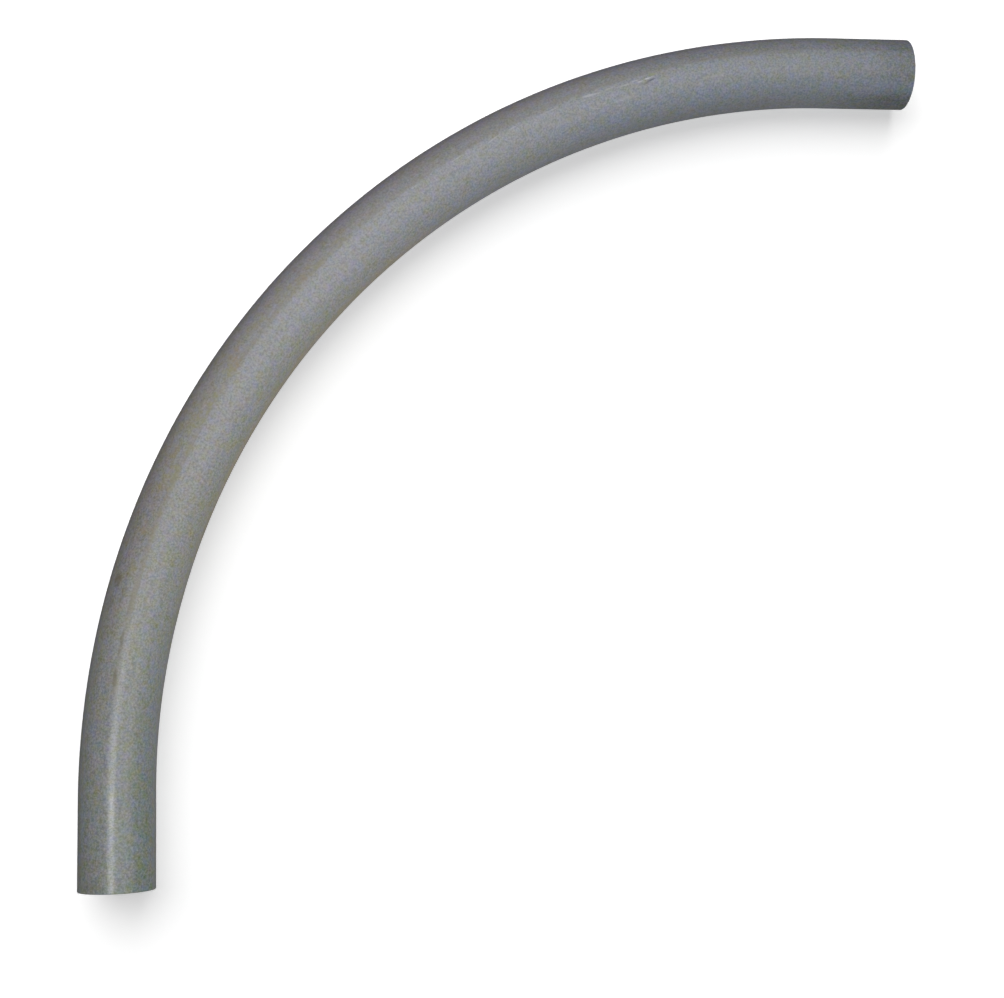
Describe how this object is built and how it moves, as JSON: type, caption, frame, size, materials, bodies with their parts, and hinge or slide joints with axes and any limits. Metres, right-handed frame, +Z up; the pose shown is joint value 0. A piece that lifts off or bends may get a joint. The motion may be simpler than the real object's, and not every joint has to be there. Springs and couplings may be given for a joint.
{
  "type": "pvc conduit elbow",
  "caption": "Long-sweep 90 degree elbow in rigid grey PVC conduit: one round pipe bent through a wide quarter turn, with short straight square-cut ends and an open bore.",
  "frame": {"origin": "on the surface the elbow lies on, below the middle of its overall box", "axes": "+Z up out of the plane of the bend; end A is the open end that points along -Y, and end B the open end that points along +X"},
  "size_m": [0.7128, 0.7128, 0.0603],
  "materials": {
    "grey_pvc": "satin, a little glossier on the straight ends than round the bend"
  },
  "bodies": {
    "root": {"elbow_pipe": "grey_pvc"}
  },
  "joints": []
}
